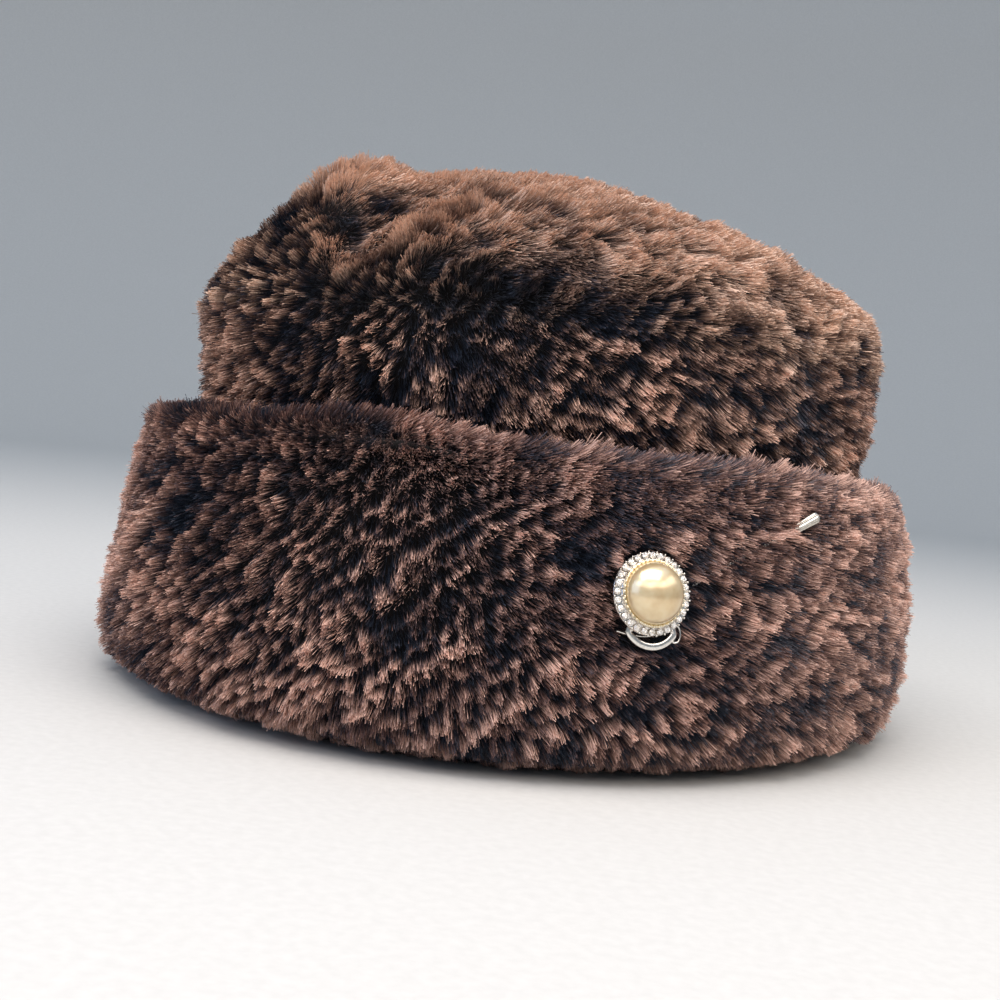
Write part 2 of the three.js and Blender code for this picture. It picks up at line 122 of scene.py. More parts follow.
def skin(rings, ends=()):
    """Corners and faces of a closed skin over rings of points: a corner joins the next in its ring and the
    one above, each ring wraps round, and the first and last close on the ends, or on each other."""
    rows, columns = rings.shape[:2]
    index = np.arange(rows * columns).reshape(rows, columns)
    low, high = (index[:-1], index[1:]) if len(ends) else (index, np.roll(index, -1, 0))
    quads = np.stack([low, np.roll(low, -1, 1), np.roll(high, -1, 1), high], -1).reshape(-1, 4)
    corners, faces = rings.reshape(-1, 3), quads.tolist()
    if len(ends):
        corners = np.vstack([corners, ends])
        first, last, top = index[0], index[-1], rows * columns
        faces += np.stack([np.roll(first, -1), first, np.full(columns, top)], -1).tolist()
        faces += np.stack([last, np.roll(last, -1), np.full(columns, top + 1)], -1).tolist()
    return corners, faces


def piece(name, parts, materials, nodes, face_material=None, sharp=40, stage=False):
    """One object from parts in mm, which rides on the hat and stands for its CAD nodes."""
    corners = np.vstack([part[0] for part in parts]) * MM
    starts = np.cumsum([0] + [len(part[0]) for part in parts[:-1]])
    faces = [[n + start for n in face] for start, part in zip(starts, parts) for face in part[1]]
    mesh = bpy.data.meshes.new(name)
    mesh.from_pydata(corners.tolist(), [], faces)
    for material in materials:
        mesh.materials.append(material)
    if face_material is not None:
        mesh.polygons.foreach_set("material_index", face_material(mesh).astype(np.int32))
    mesh.polygons.foreach_set("use_smooth", np.ones(len(mesh.polygons), bool))
    mesh.set_sharp_from_angle(angle=math.radians(sharp))
    made = bpy.data.objects.new(name, mesh)
    bpy.context.scene.collection.objects.link(made)
    if stage:
        return
    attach(made, "root")
    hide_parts(*nodes)


def colour(code):
    """An sRGB hex colour as linear RGBA."""
    shown = np.array([int(code[n:n + 2], 16) for n in (1, 3, 5)]) / 255
    linear = np.where(shown <= 0.04045, shown / 12.92, ((shown + 0.055) / 1.055) ** 2.4)
    return (*linear.tolist(), 1.0)


def add_node(tree, kind, inputs=(), stops=(), **settings):
    """Adds a node with its settings, its colour stops, and for each input a value or the socket it reads."""
    made = tree.nodes.new(kind)
    for setting, value in settings.items():
        setattr(made, setting, value)
    for n, (place, code) in enumerate(stops):
        stop = made.color_ramp.elements[n] if n < 2 else made.color_ramp.elements.new(place)
        stop.position, stop.color = place, colour(code)
    for key, value in dict(inputs).items():
        if isinstance(value, bpy.types.NodeSocket):
            tree.links.new(value, made.inputs[key])
        else:
            made.inputs[key].default_value = value
    return made


def new_material(name, **sockets):
    """A Principled material, with values set on its own sockets."""
    made = bpy.data.materials.new(name)
    made.use_nodes = True
    shader = made.node_tree.nodes["Principled BSDF"]
    for socket, value in sockets.items():
        shader.inputs[socket.replace("_", " ")].default_value = value
    return made, made.node_tree, shader


def object_place(tree):
    """The place on the object, in metres."""
    return add_node(tree, "ShaderNodeTexCoord").outputs["Object"]


def noise(tree, size, detail=2.0):
    """A noise from 0 to 1 whose spots are about a size in mm across."""
    inputs = {"Vector": object_place(tree), "Scale": 1 / (size * MM), "Detail": detail}
    return add_node(tree, "ShaderNodeTexNoise", inputs).outputs["Fac"]


def tinted(tree, shader, share, stops):
    """Colours a material between the stops by a share from 0 to 1."""
    ramp = add_node(tree, "ShaderNodeValToRGB", {"Fac": share}, stops)
    tree.links.new(ramp.outputs["Color"], shader.inputs["Base Color"])


def dented(tree, shader, height, strength, depth):
    """Shades a material as dented by a depth in mm where the height, from 0 to 1, is low."""
    bump = add_node(tree, "ShaderNodeBump", {"Height": height, "Strength": strength, "Distance": depth * MM})
    tree.links.new(bump.outputs["Normal"], shader.inputs["Normal"])


# Sheepskin leather, drum dyed with the wool on it: matt, uneven black brown, and pitted by the wool's roots
hide_leather, tree, shader = new_material("dyed_sheepskin_leather", Roughness=0.9)
BLOTCH = 14  # mm across an uneven spot of the dye
ROOT_PITCH, PIT_DEPTH = 1.2, 0.3  # mm between the pits, and their depth
tinted(tree, shader, noise(tree, BLOTCH, 3.0), [(0.3, "#0b090b"), (0.75, "#1a1313")])
dented(tree, shader, noise(tree, ROOT_PITCH), 0.5, PIT_DEPTH)

# Viscose satin lining, woven: brown with a low sheen. Its twill is drawn coarser, so that it shows.
lining, tree, shader = new_material("viscose_satin_lining", Roughness=0.5, Sheen_Weight=0.3)
RIB_PITCH, RIB_HEIGHT = 1.6, 0.1  # mm between the twill's ribs, and their height
WAVE_REPEAT = 0.314  # metres from band to band of the wave texture at scale 1
weave = {"Vector": object_place(tree), "Scale": WAVE_REPEAT / (RIB_PITCH * MM), "Distortion": 0.6}
twill = add_node(tree, "ShaderNodeTexWave", weave, bands_direction="DIAGONAL").outputs["Fac"]
tinted(tree, shader, twill, [(0.0, "#2a1c19"), (1.0, "#3f2c26")])
dented(tree, shader, twill, 0.3, RIB_HEIGHT)

around = np.linspace(0, 2 * np.pi, ROUND, endpoint=False)


def lined_from(rings):
    """Gives the faces from a ring on the lining and the ones before it the hide."""
    return lambda mesh: np.arange(len(mesh.polygons)) >= rings * ROUND


cuff_shares = np.linspace(0, 1, 44)
# The hide lies deeper where the edge turns in, and its foot is drawn in by a twentieth under the pile
cuff_depths = PILE_DEPTH * (smooth(cuff_shares, 0, 0.12) + 0.4 * smooth(cuff_shares, 0.7, 0.8))
cuff_outside = np.stack([
    sunk(cuff_surface, around, np.full(ROUND, share), np.full(ROUND, depth))
    for share, depth in zip(cuff_shares, cuff_depths)
])
cuff_outside[..., 2] = np.maximum(cuff_outside[..., 2], 0)
cuff_outside[..., :2] *= (0.95 + 0.05 * smooth(cuff_shares, 0, 0.15))[:, None, None]
# The inside's rings: how far out from the head opening, and how high
cuff_inside = np.stack([
    oval(around, HEAD_HALF[0] + inset, HEAD_HALF[1] + inset, np.full(ROUND, height))
    for inset, height in ((WALL, 62), (WALL, 40), (WALL, 8), (0, 8), (0, 2.7), (5, 0))
])
piece("cuff_hide", [skin(np.concatenate([cuff_outside, cuff_inside]))], [hide_leather, lining],
      ["cuff"], lined_from(len(cuff_outside)))

# The cuff's pile: wool that grows from the hide, sheared to about 7 mm and dyed brown, its roots painted blue
# black as the shade deep in the pile. Its ends cling together in broken ridges that run like "/", lean down
# to the right and overhang dark gaps, whose darkness is partly painted shade.
FIBRE_ROOT = 0.3  # mm into the hide
WIDTH = 0.157  # mm across a fibre's sheared end, thicker than real wool, so that it shows
GAP_PITCH = 12.0  # mm between the wide gaps
RIDGE_PITCH = 5.2  # mm between the ridges
TUFT_PITCH = 4.0  # mm between the tufts along a ridge
LOCK_PITCH = 2.2  # mm between the small locks
RIDGE_PULL, TUFT_PULL, LOCK_PULL = 0.8, 0.4, 0.3  # how strongly the ends draw to the crest of each
LEAN = 2.8  # mm along the hide from root to end
RISE = 0.9  # mm of the ends over the mean surface
UNROLLED = 115.0  # mm, the mean radius on which a band round the hat is unrolled
PLASTIC_STEPS = 0.7548776662, 0.5698402910  # 1 / p and 1 / p^2 of the plastic number p


def ripple(place, length, seed):
    """A slow wave, mostly from -1 to 1: the sum over 3.2 of sines of points in mm, in 7 random directions,
    with wavelengths from 0.6 to 1.6 times the length."""
    draw = np.random.default_rng(seed)
    ways = unit(draw.normal(size=(7, 3))) * (2 * np.pi / (length * draw.uniform(0.6, 1.6, (7, 1))))
    return np.sin(place @ ways.T + draw.uniform(0, 2 * np.pi, 7)).sum(-1) / 3.2


def scattered(surface, count, start, stop, seed, above=0.0):
    """Even places on a band round the hat: the turn and the way up its section step by the powers of the
    plastic number, with a small random shift. Gives the turn, the share, and the place in mm on the unrolled
    band, whose foot is at the height above."""
    draw = np.random.default_rng(seed)
    steps = np.linspace(start, stop, 300)
    section = surface(np.full(300, 1.2), steps)
    run = np.concatenate([[0], np.cumsum(np.linalg.norm(np.diff(section, axis=0), axis=1))])
    n = np.arange(count)
    turn = 2 * np.pi * np.mod(n * PLASTIC_STEPS[0] + draw.normal(0, 0.0004, count), 1) - np.pi
    up = np.clip(np.mod(n * PLASTIC_STEPS[1], 1) * run[-1] + draw.normal(0, 0.25, count), 0, run[-1])
    return turn, np.interp(up, run, steps), np.stack([turn * UNROLLED, up + above], -1)


def wave_ways(main, pitch, spread, seed, closed=False):
    """Twenty-four wave vectors in radians per mm, near a main direction, with lengths about the pitch, and
    their phases. On an unrolled band their first part is rounded, so that whole waves go round it."""
    draw = np.random.default_rng(seed)
    ways = unit(np.array(main) + spread * draw.normal(size=(24, len(main))))
    ways = ways * 2 * np.pi / (pitch * draw.uniform(0.66, 1.55, (24, 1)))
    if closed:
        ways[:, 0] = np.round(ways[:, 0] * UNROLLED) / UNROLLED
    return ways, draw.uniform(0, 2 * np.pi, 24)


def crests(points, ways, phases, lag=0.0):
    """The sum of the cosines of the waves less a lag, scaled to spread by 1, and its slope each way."""
    angle = points @ ways.T + (phases - lag)
    size = math.sqrt(2 / len(ways))
    return np.cos(angle).sum(-1) * size, -(np.sin(angle) @ ways) * size


def patches(place, table):
    """The sum over rows of (x, y, z, radius, amount) of amount * exp(-(distance / radius)^2)."""
    away = np.linalg.norm(place[:, None] - [row[:3] for row in table], axis=-1) / [row[3] for row in table]
    return np.exp(-away**2) @ [row[4] for row in table]


def grown(place, out, way, bent, waves, flat, spatial, combed, rise, tone, seed):
    """Corners and tones of fibres. Their ends stand at bent, lean included, and draw up the slopes of the
    waves, rows of (wave vectors and phases, pitch, strength, rise in mm, tone of painted shade and
    highlight).
    Flat lays the pull into the surface, and spatial takes it to the hat's axes. Rise and tone are highest
    just past a crest, where a ridge overhangs its gap: the tone is a painted highlight there and painted
    shade in the gap. Each fibre is a blade that widens from its root in the hide, nearer the surface where it
    is combed flat, to its sheared end. Gives also how far up the whole fibre its foot shows, which shortens
    the painted shade of its root where it is combed flat."""
    draw = np.random.default_rng(seed)
    pull = 0
    for wave, pitch, strength, _, _ in waves:
        strengths = np.broadcast_to(strength, combed.shape) * (pitch / 2 / np.pi) ** 2
        pull = pull + crests(bent, *wave)[1] * strengths[:, None]
    pull = flat(pull)
    rise = RISE + rise - 0.3 * combed + 0.4 * ripple(place, 16, 8) + draw.normal(0, 0.2, len(place))
    tone = tone + draw.normal(0, 0.12, len(place))
    # The tone is raised past each crest as a painted highlight, and lowered in its gap as painted shade
    for wave, _, _, height, painted_light in waves:
        crest = np.clip(crests(bent + pull, *wave, 0.7)[0], -2, 1.6)
        rise, tone = rise + height * crest, tone + painted_light * crest
    root = place - out * ((PILE_DEPTH + FIBRE_ROOT) * (1 - 0.5 * combed))[:, None]
    end = place + spatial(way + pull) + out * rise[:, None] + draw.normal(0, 0.3, place.shape)
    side = unit(np.cross(end - root, out + 0.45 * draw.normal(size=place.shape)))
    half = WIDTH / 2 * draw.uniform(0.7, 1.3, (len(place), 1))
    return np.stack([root, end + side * half, end - side * half], 1), np.clip(tone, 0.02, 0.98), 0.4 * combed


def pile(name, corners, tones, feet, material, node, slot):
    """The fibres as one piece. Both its UV maps give the tone across and the place along the fibre upwards,
    so the colour depends on them alone."""
    count = len(corners)
    mesh = bpy.data.meshes.new(name)
    mesh.vertices.add(count * 3)
    mesh.vertices.foreach_set("co", (corners * MM).astype(np.float32).ravel())
    mesh.loops.add(count * 3)
    mesh.loops.foreach_set("vertex_index", np.arange(count * 3, dtype=np.int32))
    mesh.polygons.add(count)
    mesh.polygons.foreach_set("loop_start", np.arange(0, count * 3, 3, dtype=np.int32))
    mesh.update(calc_edges=True)
    tone = tones[:, None] + np.array([0.0, 0.006, -0.006])
    upwards = np.stack([feet, np.ones(count), np.ones(count)], -1)
    both = np.stack([tone, upwards], -1)
    for layer in ("strand", "OFBake"):
        mesh.uv_layers.new(name=layer).data.foreach_set("uv", both.astype(np.float32).ravel())
    mesh.materials.append(material)
    made = bpy.data.objects.new(name, mesh)
    bpy.context.scene.collection.objects.link(made)
    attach(made, "root")
    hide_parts(node)


def wool(name, black, dark, mid, lit):
    """Dyed sheep's wool, whose fibres are smooth enough to shine a little; the sheen's bluish tint is a
    painted reflection. The roots are painted blue black, as the shade deep in the pile with a painted bluish
    reflection, and give way up the fibre to the dye, which goes from black through dark and mid to lit with
    the tone. The tone is partly the dye's random unevenness and partly painted shade and highlight, and the
    blue of black and dark is painted reflection."""
    made, tree, shader = new_material(name, Roughness=0.5, Sheen_Weight=0.12, Sheen_Roughness=0.4)
    shader.inputs["Sheen Tint"].default_value = colour("#c8ccd6")
    strand = add_node(tree, "ShaderNodeSeparateXYZ", {
        "Vector": add_node(tree, "ShaderNodeUVMap", uv_map="strand").outputs["UV"]})
    ends = add_node(tree, "ShaderNodeValToRGB", {"Fac": strand.outputs["X"]}, [
        (0.0, black), (1.0, lit), (0.18, dark), (0.5, mid)])
    part = add_node(tree, "ShaderNodeMapRange", {
        "Value": strand.outputs["Y"], "From Min": 0.4, "From Max": 0.86}, interpolation_type="SMOOTHSTEP")
    blend = add_node(tree, "ShaderNodeMix", {0: part.outputs["Result"]}, data_type="RGBA")
    # The roots' colour: painted shade deep in the pile, blue black with a painted bluish reflection
    blend.inputs[6].default_value = colour("#1a2739")
    tree.links.new(ends.outputs["Color"], blend.inputs[7])
    tree.links.new(blend.outputs[2], shader.inputs["Base Color"])
    return made


def pin_frame():
    """Origin and axes in mm of the pin's head, from the stones: the ring's middle, the ways to the first
    stone and to the eighth, a quarter of the way round, and the ring's depth from a stone's lowest corner."""
    stones = [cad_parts[f"halo_stone_{n:02d}"] for n in range(1, 29)]
    corners = [np.array([v.co for v in stone.data.vertices]) / MM for stone in stones]
    middles = np.array([(c.min(0) + c.max(0)) / 2 for c in corners])
    across = unit(middles[0] - middles[14])
    up = middles[7] - middles[21]
    up = unit(up - across * (up @ across))
    face = np.cross(across, up)
    ring = middles.mean(0)
    lowest = min(((c - ring) @ face).min() for c in corners)
    return ring + face * (lowest - STONE_SEAT), np.array([across, up, face])


def clutch_frame():
    """Inner end and unit direction in mm of the clutch, from the longest way through its node."""
    corners = np.array([v.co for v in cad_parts["pin_clutch"].data.vertices]) / MM
    middle = (corners.min(0) + corners.max(0)) / 2
    for _ in range(3):
        way = unit(np.linalg.svd(corners - middle, full_matrices=False)[2][0])
        along = (corners - middle) @ way
        middle = middle + way * (along.min() + along.max()) / 2
    way = way * np.sign(way @ np.array([1.0, 1.0, 0.5]))
    along = (corners - middle) @ way
    return middle + way * along.min(), way


STONE_SEAT = 0.9  # mm, how far the stones' lowest corners stand over the dish's back
PIN_PLACE, PIN_AXES = pin_frame()
CLUTCH_FOOT, CLUTCH_WAY = clutch_frame()
CLUTCH_LONG = 8.5
# Room for the pin in the pile, in mm: discs for its head and for the wire's eye, part of a ring for the
# strip, and a slot over the clutch
HEAD_ROOM, HEAD_BACK = 9.7, -0.6
STRIP_MIDDLE, STRIP_ROOM, STRIP_BELOW = (1, -5.2), (4.0, 8.0), -5.5
EYE_MIDDLE, EYE_ROOM = (7.3, -8.1), 2.4
WIRE_BACK = -2.6
CLUTCH_ROOM, CLUTCH_BACK = 1.9, -1.5


def in_pins_way(points):
    """True for points whose distances from the middles of the pin's parts are within their room."""
    local = (points - PIN_PLACE) @ PIN_AXES.T
    head = (np.hypot(local[..., 0], local[..., 1]) < HEAD_ROOM) & (local[..., 2] > HEAD_BACK)
    under = np.hypot(local[..., 0] - STRIP_MIDDLE[0], local[..., 1] - STRIP_MIDDLE[1])
    strip = (under > STRIP_ROOM[0]) & (under < STRIP_ROOM[1]) & (local[..., 1] < STRIP_BELOW)
    eye = np.hypot(local[..., 0] - EYE_MIDDLE[0], local[..., 1] - EYE_MIDDLE[1]) < EYE_ROOM
    behind = (strip | eye) & (local[..., 2] > WIRE_BACK)
    rel = points - CLUTCH_FOOT
    along = rel @ CLUTCH_WAY
    outward = unit(np.array([*CLUTCH_FOOT[:2] / HEAD_HALF**2, 0.0004]))
    off = rel - along[..., None] * CLUTCH_WAY
    height = off @ outward
    beside = np.linalg.norm(off - height[..., None] * outward, axis=-1)
    clutch = (along > 1.2) & (along < CLUTCH_LONG + 1.5) & (beside < CLUTCH_ROOM) & (height > CLUTCH_BACK)
    return head | behind | clutch


def parted(corners, tones, feet):
    """Presses the fibres that would pass through the pin down to half their height, and leaves out those
    that still would. None goes below the floor."""
    root, end = corners[:, :1], corners[:, 1:].mean(1)
    hit = in_pins_way(end) | in_pins_way((root[:, 0] + 3 * end) / 4)
    pressed = np.where(hit[:, None, None], root + (corners - root) * 0.5, corners)
    free = ~in_pins_way(pressed[:, 1:].mean(1))
    pressed[..., 2] = np.maximum(pressed[..., 2], 0.2)
    return pressed[free], tones[free], feet[free]


cuff_wool = wool("dyed_wool_cuff", "#151f2e", "#313a49", "#7b5b53", "#e5bcaa")
# Patches of painted shade and painted highlight on the pile: x, y, z, radius and tone
CUFF_PAINTED_SHADE_AND_LIGHT = [
    (-62, -100, 68, 26, -0.16), (16, -129, 56, 22, -0.14), (-104, -30, 40, 34, -0.06),
    (20, -129, 4, 34, -0.1), (78, -92, 42, 40, -0.04), (-30, -124, 38, 30, 0.08),
    (-6, -130, 22, 24, 0.08), (4, -126, 73, 13, 0.2), (-60, -106, 74, 30, -0.08),
]
# Where it is fuller or is pressed: x, y, z, radius and mm
CUFF_RISES = [
    (71, -98, 59, 7, 1.2), (-96, -60, 7, 20, 2.8), (-93, -59, 71, 18, -3.4), (-98, -62, 38, 15, -1.6),
]
CUFF_FIBRES, EDGE_FIBRES = 368_000, 42_000
EDGE_FOOT = 72.0  # mm up the unrolled cuff
all_over = scattered(cuff_surface, CUFF_FIBRES, 0.02, 0.99, 11)
along_edge = scattered(cuff_surface, EDGE_FIBRES, 0.68, 0.86, 10, EDGE_FOOT)
turn, share, flat = (np.concatenate(both) for both in zip(all_over, along_edge))
place = cuff_surface(turn, share)
across, up, out = directions(cuff_surface, turn, share, 0.045)
edge = smooth(share, 0.74, 0.86)
draw = np.random.default_rng(12)
# The pile leans down by the slope, steeper at the left, and over the edge it is combed nearly level
slope = np.radians(46 - 10 * np.sin(turn)) + 0.2 * ripple(place, 45, 13) + 0.16 * ripple(place, 9, 14)
slope = slope - 0.65 * edge * (1 - 0.5 * ripple(place, 20, 15)) + draw.normal(0, 0.2, len(place))
combed = np.clip(0.08 + 0.2 * ripple(place, 40, 16) + 0.3 * edge, 0, 1)
lean = LEAN * (1 + 0.7 * combed + 0.9 * edge) * draw.uniform(0.8, 1.2, len(place))
way = np.stack([np.cos(slope), -np.sin(slope)], -1) * lean[:, None]
bent = flat + way + 1.6 * np.stack([ripple(place, 22, 17), ripple(place, 22, 18)], -1)
loose = (1 - 0.75 * combed) * (1 + 0.3 * ripple(place, 22, 9))
ACROSS_RIDGES, ALONG_RIDGES = [0.74, -0.67], [0.67, 0.74]
waves = [
    (wave_ways(ACROSS_RIDGES, RIDGE_PITCH, 0.58, 19, True), RIDGE_PITCH,
     RIDGE_PULL * loose, 0.65 * loose, 0.21 * loose),
    (wave_ways(ACROSS_RIDGES, GAP_PITCH, 0.5, 27, True), GAP_PITCH, 0.2 * loose, 0.5 * loose, 0.15 * loose),
    (wave_ways(ALONG_RIDGES, TUFT_PITCH, 0.5, 25, True), TUFT_PITCH,
     TUFT_PULL * loose, 0.25 * loose, 0.09 * loose),
    (wave_ways([0.0, 0.0], LOCK_PITCH, 1.0, 20, True), LOCK_PITCH, LOCK_PULL, 0.15, 0.03),
]
tone = 0.45 + 0.16 * ripple(place, 24, 21) + 0.12 * ripple(place, 11, 24) + 0.06 * ripple(place, 70, 22)
tone = tone + patches(place, CUFF_PAINTED_SHADE_AND_LIGHT)
rise = patches(place, CUFF_RISES) + 0.7 * edge * ripple(place, 15, 26)
corners, tones, feet = grown(place, out, way, bent, waves, lambda v: v,
                             lambda v: across * v[:, :1] + up * v[:, 1:], combed, rise, tone, 23)
# The ends near the floor are tucked in and up under the hat
TUCK_HEIGHT = 5  # mm
tuck = np.clip((TUCK_HEIGHT - corners[..., 2:]) / 6, 0, 1)
corners = corners * np.concatenate([1 - 0.035 * tuck, 1 - 0.035 * tuck, 1 + 0 * tuck], -1)
raised = TUCK_HEIGHT - 0.75 * (TUCK_HEIGHT - corners[..., 2])
corners[..., 2] = np.where(corners[..., 2] < TUCK_HEIGHT, raised, corners[..., 2])
corners, tones, feet = parted(corners, tones, feet)
part = np.digitize(np.arctan2(corners[:, 1, 0], -corners[:, 1, 1]), [-1.6, 0, 1.6])
for sector, side in enumerate(("back_left", "left", "right", "back_right")):
    here = part == sector
    pile(f"cuff_pile_{side}", corners[here], tones[here], feet[here], cuff_wool, "cuff", "cuff_fur")

# The crown band: an oval wall of the same pelt that stands inside the cuff and leans a little to the right.
# Only its upper third shows over the cuff's edge.
BAND_ROWS = np.array([
    [94, 115, 60], [94, 115.3, 70], [94.5, 116.3, 78], [95.5, 117.5, 85], [96, 118, 92], [96, 118, 101],
])
ASIDE = 1.5  # mm, how far the crown leans to the right
SEAM = 101  # mm up, where the tip is sewn on
BAND_FOOT = 8.3  # mm up, just over the lip of the cuff


def band_surface(turn, share):
    """The band's mean surface: the oval of the section's row, which moves aside above the cuff."""
    half_width, half_length, height = np.moveaxis(rounded_rows(BAND_ROWS, share), -1, 0)
    return oval(turn, half_width, half_length, height, ASIDE * smooth(height, 68, 80))


band_foot = oval(around, 94 * np.ones(ROUND), 115, BAND_FOOT)[None]
band_shares = np.linspace(0, 1, 12)
band_outside = np.stack([
    sunk(band_surface, around, np.full(ROUND, s), np.full(ROUND, PILE_DEPTH * smooth(s, 0.0, 0.35)))
    for s in band_shares
])
band_outside[..., 2] = np.minimum(band_outside[..., 2], SEAM - 0.3)
# The inside's rings: how far out from the head opening, how high, and how far aside
band_inside = np.stack([
    oval(around, HEAD_HALF[0] + inset, HEAD_HALF[1] + inset, np.full(ROUND, height), aside)
    for inset, height, aside in ((3, SEAM - 0.3, ASIDE), (2, 78, 0.8), (1, 54.5, 0), (0, BAND_FOOT, 0))
])
piece("band_hide", [skin(np.concatenate([band_foot, band_outside, band_inside]))], [hide_leather, lining],
      ["crown_band"], lined_from(len(band_outside) + 1))

band_wool = wool("dyed_wool_band", "#0f1a29", "#232e41", "#75584d", "#eac0aa")
# The crown is combed from its upper left at the back to its lower right in front; its band and tip share the
# waves of their ridges, so that these run on over the seam
CROWN_FLOW = np.array([0.78, -0.3, -0.55])
STREAK_PITCH, MOUND_PITCH = 5.4, 12.0  # mm, where it is combed flat
# Patches of painted shade, on the crown's front and in the fold's groove, and of painted highlight, on the
# fold's ridge and lit spots: x, y, z, radius and tone
CROWN_PAINTED_SHADE_AND_LIGHT = [
    (-12, -114, 96, 34, -0.2), (22, -112, 106, 22, -0.1), (-47, -90, 122, 9, -0.8), (-60, -76, 117, 10, -0.5),
    (-38, -88, 127, 7, 0.45), (-33, -80, 133, 8, 0.35), (-31, -96, 119, 5, -0.6), (-25, -88, 126, 5, -0.9),
    (58, -82, 108, 26, 0.06), (-64, -80, 82, 18, 0.08), (-76, -68, 104, 26, -0.1), (40, -108, 88, 18, 0.1),
]
CROWN_RISES = [
    (-84, -55, 82, 15, -4.6), (-46, -89, 123, 8, -2), (-25, -88, 126, 5, -1.5), (-38, -88, 126, 6, 1),
    (-17, -86, 125, 8, 2.2),
]


def grown_crown(place, out, combed, tone, seed):
    """The crown's pile from its places: the flow falls down the surface, wanders and is laid into it, and the
    waves are those of grown, in space."""
    draw = np.random.default_rng(seed)
    count = len(place)
    flow = CROWN_FLOW + 0.35 * (np.array([0, 0, -1]) - out * -out[:, 2:3])
    flow = flow + 0.28 * np.stack([ripple(place, 34, n) for n in (32, 33, 34)], -1)
    flow = flow + 0.14 * np.stack([ripple(place, 9, n) for n in (35, 36, 37)], -1)
    flow = flow + draw.normal(0, 0.12, place.shape)
    flow = unit(flow - out * (flow * out).sum(-1, keepdims=True))
    way = flow * (LEAN * (1 + 1.6 * combed) * draw.uniform(0.8, 1.2, count))[:, None]
    bent = place + way + 1.6 * np.stack([ripple(place, 22, n) for n in (41, 42, 43)], -1)
    loose = np.clip(1 - 1.1 * combed, 0.1, 1) * (1 + 0.3 * ripple(place, 22, 9))
    waves = [
        (wave_ways(CROWN_FLOW, RIDGE_PITCH * 0.85, 0.55, 44), RIDGE_PITCH,
         RIDGE_PULL * loose, 0.75 * loose, 0.24 * loose),
        (wave_ways(CROWN_FLOW, GAP_PITCH * 0.85, 0.5, 40), GAP_PITCH, 0.2 * loose, 0.5 * loose, 0.15 * loose),
        (wave_ways([0.55, 0.1, 0.78], TUFT_PITCH, 0.5, 49), TUFT_PITCH,
         TUFT_PULL * loose, 0.25 * loose, 0.09 * loose),
        (wave_ways([0.0] * 3, LOCK_PITCH * 0.8, 1.0, 45), LOCK_PITCH, LOCK_PULL, 0.15, 0.03),
        (wave_ways([0.5, 0.8, -0.3], STREAK_PITCH, 0.45, 46), STREAK_PITCH,
         1.1 * combed, 0.8 * combed, 0.17 * combed),
        (wave_ways([0.6, 0.5, -0.3], MOUND_PITCH, 0.9, 50), MOUND_PITCH,
         0.3 * combed, 1.1 * combed, 0.16 * combed),
    ]
    tone = tone + 0.15 * (1 - 0.3 * combed) * ripple(place, 24, 47) + 0.12 * ripple(place, 11, 48)
    tone = tone + patches(place + way, CROWN_PAINTED_SHADE_AND_LIGHT)
    return grown(place, out, way, bent, waves, lambda v: v - out * (v * out).sum(-1, keepdims=True),
                 lambda v: v, combed, patches(place + way, CROWN_RISES), tone, seed + 1)


BAND_FIBRES = 104_000
turn, share, _ = scattered(band_surface, BAND_FIBRES, 0.16, 1.0, 51)
place = band_surface(turn, share)
combed = np.clip(0.05 + 0.2 * ripple(place, 30, 38), 0, 1)
fibres = parted(*grown_crown(place, directions(band_surface, turn, share)[2], combed, 0.42, 52))
pile("band_pile", *fibres, band_wool, "crown_band", "crown_fur")

# The tip: a soft domed oval of pelt sewn to the top of the band. It sags in folds, with a pinched ridge at
# the front left. Its pile is combed flatter on top, and painted lighter there, as the light falls on it.
DOME_RISE = 42.5  # mm over its seam
TIP_THICK = 13  # mm of hide and pile
SEAM_HALF = np.array([96.0, 118.0])  # mm, half its width and length
# Each fold: from x, y to x, y in plan, its width, and its push outwards, in mm
TIP_FOLDS = [
    (-48, -38, -42, -80, 14, 8),
    (-78, -22, -66, -60, 9, -4),
    (-82, 15, -76, -48, 20, -6),
    (-20, -88, -26, -103, 10, -6),
    (-30, 10, 0, 10, 38, 6),
    (94, -8, 94, -30, 9, 2.5),
    (52, -20, 60, 30, 32, -3),
]


def fold_push(x, y):
    """Sum over the folds of push * exp(-(distance to the fold's line / width)^2)."""
    total = np.zeros(np.shape(x))
    for from_x, from_y, to_x, to_y, width, push in TIP_FOLDS:
        dx, dy = to_x - from_x, to_y - from_y
        share = np.clip(((x - from_x) * dx + (y - from_y) * dy) / (dx * dx + dy * dy), 0, 1)
        away = np.hypot(x - from_x - share * dx, y - from_y - share * dy)
        total = total + push * np.exp(-((away / width) ** 2))
    return total


def dome(turn, climb, inset=0.0, follow=1.0):
    """A point of the domed tip: the oval of the seam times the cosine of the level and a rise with its sine,
    pushed outwards by a share of the folds. Climb goes from 0 at the seam to 1 at the top."""
    level = climb * np.pi / 2
    half_width, half_length, rise = *(SEAM_HALF - inset), DOME_RISE - inset
    flat = oval(turn, half_width, half_length, 0) * np.cos(level)[..., None]
    slopes = flat[..., 0] / half_width**2, flat[..., 1] / half_length**2, np.sin(level) / rise
    out = unit(np.stack(slopes, -1))
    push = follow * fold_push(flat[..., 0], flat[..., 1]) * np.sqrt(np.abs(np.sin(level)))
    return flat + [ASIDE, 0, SEAM] + out * push[..., None] + np.sin(level)[..., None] * [0, 0, rise]


